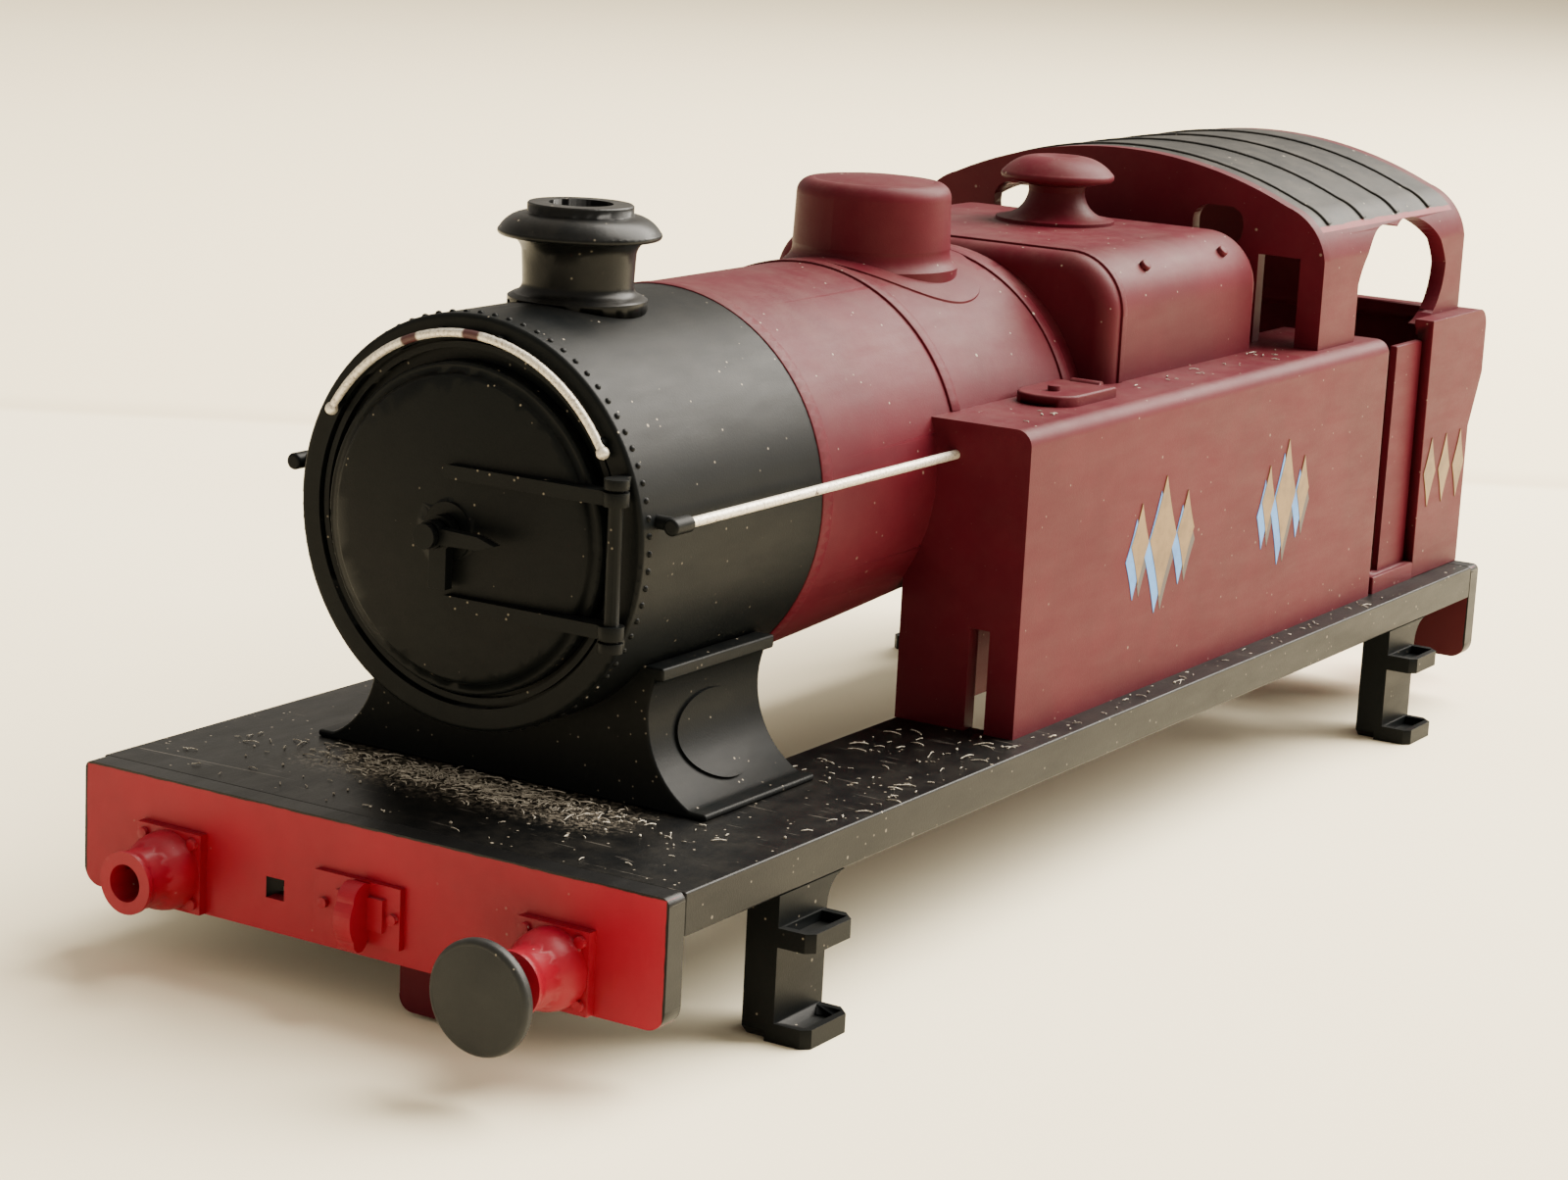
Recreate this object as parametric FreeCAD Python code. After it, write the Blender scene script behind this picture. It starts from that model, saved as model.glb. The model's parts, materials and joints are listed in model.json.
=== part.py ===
import FreeCAD, Part
import math
import os

from FreeCAD import Vector

# Body shell of a 4 mm scale side-tank steam locomotive, all sizes in millimetres.
# +X is forwards, +Y is the locomotive's left, +Z is up. The origin is on the surface the shell
# stands on, at mid length and mid width. The shell rests on the lower treads of its four steps.

# Driving dimensions
HALF_LENGTH = 49.0         # centre to the outer face of a buffer beam
HALF_WIDTH = 17.25         # centre to the outer face of a valance
DECK_TOP = 9.3             # top of the running plate
BOILER_Z = 22.6           # height of the boiler's axis
BOILER_R = 10.1           # outside of the boiler and the smokebox
WALL = 1.0                 # moulded wall

# Running plate and buffer beams
DECK_THICK = 1.0
VALANCE_BOTTOM = 7.2
VALANCE_THICK = 1.1
BEAM_THICK = 1.3
BEAM_BOTTOM = 3.0
DECK_END = HALF_LENGTH - BEAM_THICK
BAY_HALF = 8.4             # half width of the chassis bay between the tanks
BAY_FRONT = 26.8
BAY_REAR = -41.1
UNDER_TANK_HALF = 14.4     # half width of the running plate's opening inside the tanks

# Buffers and hooks
BUFFER_Y = 11.4            # half of the 22.8 mm between buffer centres
BUFFER_Z = 5.0
SOCKET_R = 0.93
STEM_R = 0.88
HOUSING_LENGTH = 3.6
HEAD_R = 2.7
HEAD_FACE = 6.35           # beam to the face of the head
FLANGE = 4.0
FLANGE_THICK = 0.5
HOOK_PLATE_Z = 5.3

# Smokebox, saddle and door
SMOKEBOX_REAR = 25.6
SMOKEBOX_FRONT = 41.64
FRONT_PLATE_X = 40.7
SADDLE_REAR, SADDLE_FRONT = 27.8, 37.8
SADDLE_FOOT = 11.8
FLANK_Y, FLANK_Z, FLANK_R = 13.0, 13.9, 4.75    # centre and radius of the saddle's hollow flank
LEDGE_Z = 16.35
DOOR_Z = 22.4
DOOR_R = 8.05
DOOR_FACE = 42.6
DOOR_SEAT = 0.4            # the door's seat, ahead of the back of the front ring
DOOR_GAP = 0.1             # clearance of the shut door
MOUTH_R = 7.3              # opening behind the door
HINGE_PIN_R = 0.36
SPINDLE_R = 0.4
HINGE_Z = 22.15            # half way up the hinge
STRAP_DROP = 3.15          # from there to the middle of a strap
HINGE_X, HINGE_Y = 42.6, 9.2
DART_Y = -0.3
CHIMNEY_X = 33.1
RAIL_Y, RAIL_Z, RAIL_R = 11.17, 24.0, 0.25
ARC_RAIL_R = 9.2

# Boiler, dome and firebox
BANDS = ((24.6, 1.0, 0.06), (11.05, 0.9, 0.12), (-1.75, 0.9, 0.12))    # rear end, width and height of each
DOME_X = 4.8
FIREBOX_FRONT, FIREBOX_REAR = -2.9, -22.7
FIREBOX_HALF = 11.3
FIREBOX_TOP = 32.9
SHOULDER_R = 3.3
VALVE_X = -17.2
VALVE_BASE = 2.2           # height of the safety valve's base

# Tanks, cab and bunker
TANK_FRONT, TANK_REAR = 14.0, -34.5
TANK_TOP = 25.8
TANK_HALF = 15.6
TANK_EDGE_R = 0.9
CAB_FRONT, CAB_REAR = -25.5, -48.6
CAB_HALF = 14.3
ROOF_TOP = 36.9
ROOF_R = 27.5
EAVES_Z = 32.9             # the roof's lower edge
ROOF_RIBS = (-28.0, -33.4, -38.8, -44.2)
REAR_PANEL_HALF = 5.9      # half width of the closed middle of the rear sheet
BUNKER_FRONT = -41.1
BUNKER_TOP = 26.3
BUNKER_FLARE = 1.7

# Steps
STEP_FRONTS = (39.6, -34.0)
STEP_LENGTH = 4.4
STEP_IN, STEP_OUT = 15.5, 19.13
TREAD_HEIGHTS = (0.0, 4.7)
TREAD_THICK = 0.95

AXIS_X, AXIS_Y, AXIS_Z = Vector(1, 0, 0), Vector(0, 1, 0), Vector(0, 0, 1)
FAR = 200.0                # longer than anything that it cuts


def block(x0, x1, y0, y1, z0, z1):
    return Part.makeBox(x1 - x0, y1 - y0, z1 - z0, Vector(x0, y0, z0))


def rod(radius, start, end):
    """A round bar from one point to another."""
    start, end = Vector(*start), Vector(*end)
    return Part.makeCylinder(radius, (end - start).Length, start, end - start)


def ball(radius, centre):
    return Part.makeSphere(radius, Vector(*centre))


def mirrored(shape):
    """The same piece on the locomotive's right side."""
    return shape.mirror(Vector(0, 0, 0), AXIS_Y)


def both_hands(shape):
    """A piece and its fellow on the other side, as separate solids."""
    return Part.makeCompound([shape, mirrored(shape)])


def outline(place, start, *steps):
    """A closed flat wire. Each step is the end of a line, or the middle and end of an arc.

    place turns a pair of flat coordinates into a point.
    """
    edges, at = [], start
    for step in steps:
        if isinstance(step[0], tuple):
            middle, end = step
            edges.append(Part.Arc(place(*at), place(*middle), place(*end)).toShape())
        else:
            end = step
            edges.append(Part.LineSegment(place(*at), place(*end)).toShape())
        at = end
    if (place(*at) - place(*start)).Length > 1e-6:
        edges.append(Part.LineSegment(place(*at), place(*start)).toShape())
    return Part.Wire(edges)


def turned(base, axis, start, *steps):
    """A turned piece: its outline in (radius, height) goes round an axis through base."""
    face = Part.Face(outline(lambda r, h: Vector(r, 0, h), start, *steps))
    shape = face.revolve(Vector(0, 0, 0), AXIS_Z, 360)
    shape.Placement = FreeCAD.Placement(Vector(*base), FreeCAD.Rotation(AXIS_Z, axis))
    return shape


def across(x0, x1, start, *steps):
    """A prism whose outline is in (y, z), from x0 to x1."""
    face = Part.Face(outline(lambda y, z: Vector(x0, y, z), start, *steps))
    return face.extrude(Vector(x1 - x0, 0, 0))


def sideways(y0, y1, start, *steps):
    """A prism whose outline is in (x, z), from y0 to y1."""
    face = Part.Face(outline(lambda x, z: Vector(x, y0, z), start, *steps))
    return face.extrude(Vector(0, y1 - y0, 0))


def upright(z0, z1, start, *steps):
    """A prism whose outline is in (x, y), from z0 to z1."""
    face = Part.Face(outline(lambda x, y: Vector(x, y, z0), start, *steps))
    return face.extrude(Vector(0, 0, z1 - z0))


def fused(first, *others):
    return first.multiFuse(list(others)).removeSplitter()


def rounded(shape, radius, picked):
    """The shape with a fillet on each edge whose middle point is picked."""
    edges = [e for e in shape.Edges if picked(e.CenterOfMass)]
    return shape.makeFillet(radius, edges)


def near(a, b):
    return abs(a - b) < 0.01


def boiler_core(radius, x0=-FAR / 2, x1=FAR / 2):
    return rod(radius, (x0, 0, BOILER_Z), (x1, 0, BOILER_Z))


def running_plate():
    """Deck with a valance down each side, open in the middle for the chassis."""
    deck = block(-DECK_END, DECK_END, -HALF_WIDTH, HALF_WIDTH, DECK_TOP - DECK_THICK, DECK_TOP)
    valance = block(-DECK_END, DECK_END, HALF_WIDTH - VALANCE_THICK, HALF_WIDTH,
                    VALANCE_BOTTOM, DECK_TOP - DECK_THICK)
    plate = fused(deck, valance, mirrored(valance))
    bay = block(TANK_FRONT - WALL, BAY_FRONT, -BAY_HALF, BAY_HALF, 0, FAR)
    under_tanks = block(BAY_REAR, TANK_FRONT - WALL, -UNDER_TANK_HALF, UNDER_TANK_HALF, 0, FAR)
    return plate.cut(bay).cut(under_tanks)


def buffer_beam(end):
    """A beam across one end (+1 front, -1 rear), bored for the buffer stems."""
    outer, inner = end * HALF_LENGTH, end * DECK_END
    beam = block(min(outer, inner), max(outer, inner), -HALF_WIDTH, HALF_WIDTH, BEAM_BOTTOM, DECK_TOP)
    beam = rounded(beam, 1.0, lambda p: near(p.z, BEAM_BOTTOM) and near(abs(p.y), HALF_WIDTH))
    beam = rounded(beam, 0.4, lambda p: near(p.z, DECK_TOP) and near(abs(p.y), HALF_WIDTH))
    for side in (-1, 1):
        beam = beam.cut(rod(SOCKET_R, (-FAR, side * BUFFER_Y, BUFFER_Z), (FAR, side * BUFFER_Y, BUFFER_Z)))
    if end > 0:
        beam = beam.cut(block(-FAR, FAR, -5.7, -4.6, 4.65, 5.7))    # lamp bracket hole
    return beam


def buffer_housing(end, side):
    """Bolted square flange and a bell-shaped socket for the buffer's stem."""
    base = (end * HALF_LENGTH, side * BUFFER_Y, BUFFER_Z)
    axis = Vector(end, 0, 0)
    bell = turned(base, axis, (SOCKET_R, 0), (1.95, 0), (1.95, 0.7), ((1.78, 1.55), (1.5, 2.1)),
                  (1.45, 3.25), (1.55, 3.35), (1.55, HOUSING_LENGTH), (SOCKET_R, HOUSING_LENGTH))
    reach = sorted((end * HALF_LENGTH, end * (HALF_LENGTH + FLANGE_THICK)))
    y, half = side * BUFFER_Y, FLANGE / 2
    flange = block(*reach, y - half, y + half, BUFFER_Z - half + 0.05, BUFFER_Z + half + 0.05)
    flange = flange.cut(rod(SOCKET_R, (-FAR, y, BUFFER_Z), (FAR, y, BUFFER_Z)))
    bolts = [rod(0.28, (end * HALF_LENGTH, y + dy, BUFFER_Z + dz),
                 (end * (HALF_LENGTH + FLANGE_THICK + 0.22), y + dy, BUFFER_Z + dz))
             for dy in (-1.55, 1.55) for dz in (-1.45, 1.55)]
    return fused(flange, bell, *bolts)


def buffer_head(end, side):
    """Domed round head on a plain stem."""
    base = (end * HALF_LENGTH, side * BUFFER_Y, BUFFER_Z)
    return turned(base, Vector(end, 0, 0), (0, 0.5), (STEM_R, 0.5), (STEM_R, 5.2), (1.4, 5.4),
                  (2.5, 5.55), ((2.64, 5.62), (HEAD_R, 5.8)), (HEAD_R, 5.95), ((2.62, 6.13), (2.4, 6.2)),
                  ((1.4, 6.31), (0.5, HEAD_FACE)), (0, HEAD_FACE))


def coupling_hook(end):
    """Draw hook standing out of its bolted plate."""
    face, middle = end * HALF_LENGTH, 0.35
    plate = block(*sorted((face, face + end * 0.35)), -2.5, 2.6, HOOK_PLATE_Z - 1.5, HOOK_PLATE_Z + 1.5)
    cheek = block(*sorted((face, face + end * 0.6)), middle - 1.4, middle + 1.4, HOOK_PLATE_Z - 0.75,
                  HOOK_PLATE_Z + 0.85)

    def at(out, up):
        return face + end * out, HOOK_PLATE_Z + up
    hook = sideways(middle - 0.5, middle + 0.5, at(0, 1.3), at(0.7, 1.55), (at(1.35, 1.3), at(1.6, 0.7)),
                    (at(1.85, -0.3), at(1.5, -1.2)), (at(0.9, -1.75), at(0.5, -1.3)), at(0, -1.2))
    bolts = [rod(0.26, (face, middle + dy, HOOK_PLATE_Z), (face + end * 0.6, middle + dy, HOOK_PLATE_Z))
             for dy in (-2.2, 1.9)]
    return fused(plate, cheek, hook, *bolts)


def flank_y(z, radius):
    """Distance of the saddle's hollow flank from the centre line at height z."""
    return FLANK_Y - math.sqrt(radius ** 2 - (FLANK_Z - z) ** 2)


def saddle_block(radius, x0, x1):
    """The saddle's section: wide foot, flank hollowed to a radius, ledge under the smokebox."""
    foot_top = DECK_TOP + 0.35
    ledge_bottom = LEDGE_Z - 0.7
    half = across(x0, x1, (0, DECK_TOP), (SADDLE_FOOT, DECK_TOP), (SADDLE_FOOT, foot_top),
                  (flank_y(foot_top, radius), foot_top),
                  ((flank_y(FLANK_Z, radius), FLANK_Z), (flank_y(ledge_bottom, radius), ledge_bottom)),
                  (9.05, ledge_bottom), (9.05, LEDGE_Z), (0, LEDGE_Z))
    return fused(half, mirrored(half)).cut(boiler_core(BOILER_R))


def saddle_cover():
    """Thin oval plate that follows the saddle's left flank."""
    skin = saddle_block(FLANK_R - 0.15, SADDLE_REAR, SADDLE_FRONT)
    skin = skin.cut(saddle_block(FLANK_R, SADDLE_REAR - 1, SADDLE_FRONT + 1))
    oval = Part.Ellipse(Vector(32.6, 6, 12.3), 3.0, 2.05)
    oval.Axis, oval.XAxis = AXIS_Y, AXIS_X
    prism = Part.Face(Part.Wire(oval.toShape())).extrude(Vector(0, 7, 0))
    return skin.common(prism)


def smokebox():
    return boiler_core(BOILER_R, SMOKEBOX_REAR, FRONT_PLATE_X).cut(boiler_core(BOILER_R - WALL))


def smokebox_front_plate():
    """Front ring with its rim and the narrow seat round the door's opening."""
    front = SMOKEBOX_FRONT - FRONT_PLATE_X
    return turned((FRONT_PLATE_X, 0, BOILER_Z), AXIS_X, (MOUTH_R, 0), (BOILER_R, 0), (BOILER_R, front - 0.25),
                  ((BOILER_R - 0.07, front - 0.07), (BOILER_R - 0.25, front)), (8.95, front), (8.95, 0.5),
                  (8.75, 0.5), (8.75, 0.8), (8.45, 0.8), (8.45, DOOR_SEAT), (MOUTH_R, DOOR_SEAT))


def smokebox_door():
    """Dished round door with a stepped rim, and the dart's boss on it."""
    seat = FRONT_PLATE_X + DOOR_SEAT + DOOR_GAP
    face = DOOR_FACE - seat
    door = turned((seat, 0, DOOR_Z), AXIS_X, (0, 0), (DOOR_R, 0), (DOOR_R, 0.6), ((8.0, 0.75), (7.85, 0.8)),
                  (7.5, 0.84), ((7.42, 0.96), (7.28, 1.04)), ((4.2, face - 0.12), (1.4, face)), (0, face))
    return fused(door, rod(1.4, (DOOR_FACE - 0.3, DART_Y, DOOR_Z), (DOOR_FACE + 0.15, DART_Y, DOOR_Z)))


def hinge_strap(rise):
    """Flat strap across the door with a knuckle round the hinge pin, rise above the hinge's middle."""
    z, half, tip = HINGE_Z + rise, 0.33, -0.2
    strap = across(42.0, 42.95, (tip, z - half), (HINGE_Y, z - half), (HINGE_Y, z + half), (tip, z + half),
                   ((tip - half, z), (tip, z - half)))
    knuckle = rod(0.62, (HINGE_X, HINGE_Y, z - half), (HINGE_X, HINGE_Y, z + half))
    pin_hole = rod(HINGE_PIN_R + 0.04, (HINGE_X, HINGE_Y, 0), (HINGE_X, HINGE_Y, FAR))
    return fused(strap, knuckle).cut(smokebox_door()).cut(pin_hole)


def hinge_post():
    """Upright pin between two brackets at the edge of the smokebox front."""
    reach, half = STRAP_DROP + 0.95, 0.24
    pieces = [rod(HINGE_PIN_R, (HINGE_X, HINGE_Y, HINGE_Z - reach), (HINGE_X, HINGE_Y, HINGE_Z + reach))]
    for z in (HINGE_Z - reach + half, HINGE_Z + reach - half):
        pieces.append(block(SMOKEBOX_FRONT, HINGE_X, HINGE_Y - 0.5, HINGE_Y + 0.15, z - half, z + half))
        pieces.append(rod(0.6, (HINGE_X, HINGE_Y, z - half), (HINGE_X, HINGE_Y, z + half)))
    return fused(*pieces)


def dart_spindle():
    """Spindle through both handles, with a cap on its end."""
    shaft = rod(SPINDLE_R, (DOOR_FACE + 0.15, DART_Y, DOOR_Z), (44.5, DART_Y, DOOR_Z))
    return fused(shaft, rod(0.62, (44.25, DART_Y, DOOR_Z), (44.6, DART_Y, DOOR_Z)))


def dart_handle(x0, x1, hub_r, arm):
    """A handle on the spindle: hub from x0 to x1, and its arm."""
    hub = rod(hub_r, (x0, DART_Y, DOOR_Z), (x1, DART_Y, DOOR_Z))
    return fused(hub, arm).cut(rod(SPINDLE_R + 0.04, (x0 - 1, DART_Y, DOOR_Z), (x1 + 1, DART_Y, DOOR_Z)))


def locking_handle():
    """Flat handle next to the door that hangs down."""
    x0, x1 = 42.9, 43.45
    return dart_handle(x0, x1, 0.85, block(x0, x1, DART_Y - 0.5, DART_Y + 0.5, DOOR_Z - 2.7, DOOR_Z))


def tightening_handle():
    """Pointed outer handle, level to the left."""
    x0, x1, y = 43.6, 44.15, DART_Y
    arm = across(x0, x1, (y, DOOR_Z - 0.42), (y + 2.8, DOOR_Z - 0.32), (y + 3.8, DOOR_Z),
                 (y + 2.8, DOOR_Z + 0.32),
                 (y, DOOR_Z + 0.42))
    return dart_handle(x0, x1, 0.7, arm)


def arc_rail_point(degrees, x):
    a = math.radians(degrees)
    return x, ARC_RAIL_R * math.cos(a), BOILER_Z + ARC_RAIL_R * math.sin(a)


def arc_handrail():
    """Round rail curved over the top of the smokebox front."""
    x, first, last = 42.05, 30, 150
    start = Vector(*arc_rail_point(first, x))
    tangent = Vector(0, -math.sin(math.radians(first)), math.cos(math.radians(first)))
    disc = Part.Face(Part.Wire(Part.makeCircle(0.21, start, tangent)))
    rail = disc.revolve(Vector(0, 0, BOILER_Z), AXIS_X, last - first)
    return fused(rail, *[ball(0.32, arc_rail_point(a, x)) for a in (first, last)])


def arc_handrail_pegs():
    """Short pegs that carry the arc rail off the front plate."""
    pegs = [rod(0.26, arc_rail_point(a, SMOKEBOX_FRONT), arc_rail_point(a, 42.05))
            for a in (33, 79, 101, 147)]
    return Part.makeCompound([peg.cut(arc_handrail()) for peg in pegs])


def side_handrail():
    return rod(RAIL_R, (TANK_FRONT, RAIL_Y, RAIL_Z), (39.4, RAIL_Y, RAIL_Z))


def handrail_stanchion():
    """Front end of the side rail: a stout end piece on a peg in the smokebox."""
    end_piece = rod(0.42, (39.4, RAIL_Y, RAIL_Z), (41.0, RAIL_Y, RAIL_Z))
    end_piece = rounded(end_piece, 0.15, lambda p: True)
    peg = rod(0.34, (40.2, 9.5, RAIL_Z), (40.2, RAIL_Y, RAIL_Z))
    return fused(end_piece, peg).cut(boiler_core(BOILER_R))


def chimney():
    """Turned chimney with a rolled rim and a lip, on a small foot."""
    body = turned((CHIMNEY_X, 0, 0), AXIS_Z, (1.6, 33.2), (1.6, 37.35), (2.55, 37.35), (2.62, 37.28),
                  (2.62, 36.9),
                  (2.75, 36.84), ((3.52, 36.55), (3.97, 36.05)), ((4.03, 35.85), (3.85, 35.72)),
                  ((3.1, 35.5), (2.82, 35.0)), (2.74, 33.5), ((2.84, 33.12), (3.2, 32.9)), (3.45, 32.75),
                  (3.45, 29.5), (0, 29.5), (0, 33.2))
    return body.cut(boiler_core(BOILER_R))


def boiler_cutaway():
    """What the motor takes from under the boiler."""
    return sideways(-FAR, FAR, (SMOKEBOX_REAR, 0), (SMOKEBOX_REAR, 14.4), (TANK_FRONT, 16.0),
                    (FIREBOX_FRONT, 18.0), (FIREBOX_FRONT, 0))


def boiler_barrel():
    """Boiler tube, cut away underneath for the motor."""
    tube = boiler_core(BOILER_R, FIREBOX_FRONT, SMOKEBOX_REAR).cut(boiler_core(BOILER_R - WALL))
    return tube.cut(boiler_cutaway())


def boiler_band(rear, width, height):
    """Raised band round the boiler, only over the top where the tanks stand beside it."""
    band = boiler_core(BOILER_R + height, rear, rear + width).cut(boiler_core(BOILER_R))
    if rear > TANK_FRONT:
        band = band.cut(boiler_cutaway())
    else:
        band = band.common(block(-FAR, FAR, -FAR, FAR, TANK_TOP, FAR))
    return band


def dome():
    """Steam dome with a small flare at its foot, on a thin round seat."""
    body = turned((DOME_X, 0, 0), AXIS_Z, (0, 28), (4.85, 28), (4.85, 32.15), ((4.52, 32.5), (4.4, 33.2)),
                  (4.3, 35.95), ((4.02, 36.55), (3.3, 36.75)), ((1.8, 36.95), (0.6, 37.0)), (0, 37.0))
    seat = rod(6.2, (DOME_X, 0, 28), (DOME_X, 0, FAR)).common(boiler_core(BOILER_R + 0.09))
    return fused(body, seat).cut(boiler_core(BOILER_R)).cut(boiler_band(*BANDS[2]))


def firebox_block(x0, x1, shrink):
    """The square-shouldered firebox section, smaller all round by shrink."""
    half, top, r = FIREBOX_HALF - shrink, FIREBOX_TOP - shrink, SHOULDER_R - shrink
    bow = r * (1 - math.sqrt(0.5))
    return across(x0, x1, (-half, TANK_TOP), (-half, top - r), ((bow - half, top - bow), (r - half, top)),
                  (half - r, top), ((half - bow, top - bow), (half, top - r)), (half, TANK_TOP))


def firebox():
    """Hollow casing on top of the tanks, with a neck behind it to the cab."""
    casing = firebox_block(FIREBOX_REAR, FIREBOX_FRONT, 0)
    casing = rounded(casing, 1.1, lambda p: near(p.x, FIREBOX_FRONT) and p.z > TANK_TOP + 0.1)
    casing = rounded(casing, 0.9, lambda p: near(p.x, FIREBOX_REAR) and p.z > TANK_TOP + 0.1)
    neck = block(CAB_FRONT, FIREBOX_REAR + WALL, -9.4, 9.4, TANK_TOP, 31.0)
    hollow = firebox_block(FIREBOX_REAR + WALL, FIREBOX_FRONT - WALL, WALL)
    neck_hollow = block(CAB_FRONT, FIREBOX_REAR + WALL, -8.4, 8.4, TANK_TOP, 30.0)
    boiler_way = boiler_core(BOILER_R - WALL, FIREBOX_FRONT - 2, 0)
    return fused(casing, neck).cut(hollow).cut(neck_hollow).cut(boiler_way)


def firebox_band():
    """Raised strip over the firebox, just behind its rounded front edge."""
    x = FIREBOX_FRONT - 1.8
    return firebox_block(x, x + 0.55, -0.13).cut(firebox_block(-FAR, FAR, 0))


def washout_plugs():
    """Four small round plugs on the firebox shoulders."""
    plugs = []
    for side in (-1, 1):
        y, z = side * (FIREBOX_HALF - SHOULDER_R), FIREBOX_TOP - SHOULDER_R
        lean = Vector(0, side * math.sqrt(0.5), math.sqrt(0.5))
        for x in (-8.6, -19.0):
            foot = Vector(x, y, z) + lean * SHOULDER_R
            plug = Part.makeCylinder(0.34, 0.6, foot - lean * 0.3, lean)
            plugs.append(plug.cut(firebox_block(-FAR, FAR, 0)))
    return Part.makeCompound(plugs)


def safety_valve_base():
    """Trumpet-shaped base on a thin round seat."""
    return turned((VALVE_X, 0, FIREBOX_TOP), AXIS_Z, (0, 0), (3.6, 0), (3.6, 0.2), (3.1, 0.28),
                  ((2.1, 0.85), (1.7, 1.8)), (1.75, VALVE_BASE), (0, VALVE_BASE))


def safety_valve_cap():
    """Mushroom cap with a shallow hollow in its top."""
    return turned((VALVE_X, 0, FIREBOX_TOP + VALVE_BASE), AXIS_Z, (0, 0), (1.75, 0),
                  ((2.4, 0.12), (3.1, 0.28)),
                  ((3.42, 0.5), (3.3, 0.82)), ((2.5, 1.45), (1.3, 1.75)), (0.7, 1.63), (0, 1.6))


def side_tank():
    """Left tank: outer side, rounded top edge, front with its lamp slot, inner side and rear end."""
    r = TANK_EDGE_R
    tank = across(TANK_REAR, TANK_FRONT, (BAY_HALF, DECK_TOP), (TANK_HALF, DECK_TOP),
                  (TANK_HALF, TANK_TOP - r),
                  ((TANK_HALF - 0.293 * r, TANK_TOP - 0.293 * r), (TANK_HALF - r, TANK_TOP)),
                  (BAY_HALF, TANK_TOP))
    tank = rounded(tank, 0.8, lambda p: near(p.x, TANK_REAR) and near(p.z, TANK_TOP))
    hollow = block(TANK_REAR + WALL, TANK_FRONT - WALL, BAY_HALF + WALL, TANK_HALF - WALL, 0, TANK_TOP - WALL)
    slot = block(TANK_FRONT - 2 * WALL, FAR, 12.65, 13.85, 0, 14.9)
    return tank.cut(hollow).cut(slot).cut(boiler_core(BOILER_R, FIREBOX_FRONT, TANK_FRONT + 1))


def tank_filler():
    """Tongue-shaped filler lid with a hinge block and a small knob."""
    rear, y, half, top = 0.5, 11.75, 1.85, TANK_TOP + 0.6
    round_x = rear + 4.2
    lid = upright(TANK_TOP, top, (rear, y - half), (round_x, y - half),
                  ((round_x + half, y), (round_x, y + half)), (rear, y + half))
    lid = rounded(lid, 0.15, lambda p: near(p.z, top))
    hinge = rod(0.32, (rear, y - 0.9, TANK_TOP + 0.45), (rear, y + 0.9, TANK_TOP + 0.45))
    hinge = hinge.common(block(-FAR, FAR, -FAR, FAR, TANK_TOP, FAR))
    return fused(lid, hinge, rod(0.35, (round_x - 0.3, y, TANK_TOP), (round_x - 0.3, y, top + 0.28)))


def cab_block(x0, x1, grow=0.0):
    """The cab's section: upright sides, rounded eaves and one wide roof arc."""
    half, top, r = CAB_HALF + grow, ROOF_TOP + grow, ROOF_R + grow
    eaves_y = 11.6
    eaves_z = top - r + math.sqrt(r ** 2 - eaves_y ** 2)
    side_z, knee_y, knee_z = 31.2, half - 0.85, 33.1 + 0.6 * grow
    return across(x0, x1, (-half, TANK_TOP), (-half, side_z), ((-knee_y, knee_z), (-eaves_y, eaves_z)),
                  ((0, top), (eaves_y, eaves_z)), ((knee_y, knee_z), (half, side_z)), (half, TANK_TOP))


def both_sides(x0, x1, y0, y1, z0, z1):
    left = block(x0, x1, y0, y1, z0, z1)
    return left.fuse(mirrored(left))


def cab_front_sheet():
    """Front sheet with two small windows over the firebox and a tall opening each side of it."""
    sheet = cab_block(CAB_FRONT - WALL, CAB_FRONT).common(block(-FAR, FAR, -FAR, FAR, TANK_TOP, FAR))
    windows = both_sides(-FAR, FAR, 5.3, 8.7, 31.6, 34.0)
    windows = rounded(windows, 1.0, lambda p: near(p.x, 0))
    tall = both_sides(-FAR, FAR, 9.9, 12.7, TANK_TOP, 31.3)
    return sheet.cut(windows).cut(tall)


def cab_rear_sheet():
    """Rear sheet above the bunker, closed in the middle between two large windows."""
    sheet = cab_block(CAB_REAR, CAB_REAR + WALL).common(block(-FAR, FAR, -FAR, FAR, TANK_TOP, FAR))
    outer, inner = CAB_HALF - WALL, REAR_PANEL_HALF
    window = across(-FAR, FAR, (inner, BUNKER_TOP), (outer, BUNKER_TOP), (outer, 31.2),
                    ((12.9, 32.5), (11.4, 33.2)), (inner + 1.4, 33.2), ((inner + 0.4, 32.8), (inner, 31.8)))
    return sheet.cut(window).cut(mirrored(window))


def cab_shell():
    return cab_block(CAB_REAR + WALL, CAB_FRONT - WALL).cut(cab_block(-FAR, FAR, -WALL))


def cab_side():
    """Left side sheet below the eaves, with the arched opening over the doorway."""
    side = cab_shell().common(block(-FAR, FAR, 0, FAR, TANK_TOP, EAVES_Z))
    opening = sideways(0, FAR, (-31.2, 0), (-31.1, 29.4), ((-33.2, 31.9), (-37.8, EAVES_Z - 0.4)),
                       ((-43.4, 32.0), (-45.6, 29.6)), ((-44.6, 27.0), (BUNKER_FRONT, TANK_TOP)),
                       (BUNKER_FRONT, 0))
    return side.cut(opening)


def cab_roof():
    return cab_shell().common(block(-FAR, FAR, -FAR, FAR, EAVES_Z, FAR))


def roof_ribs():
    """Four thin ribs across the roof."""
    ribs = [cab_block(x - 0.3, x + 0.3, 0.13).cut(cab_block(-FAR, FAR)) for x in ROOF_RIBS]
    above = block(-FAR, FAR, -FAR, FAR, EAVES_Z + 0.4, FAR)
    return Part.makeCompound([rib.common(above) for rib in ribs])


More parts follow.
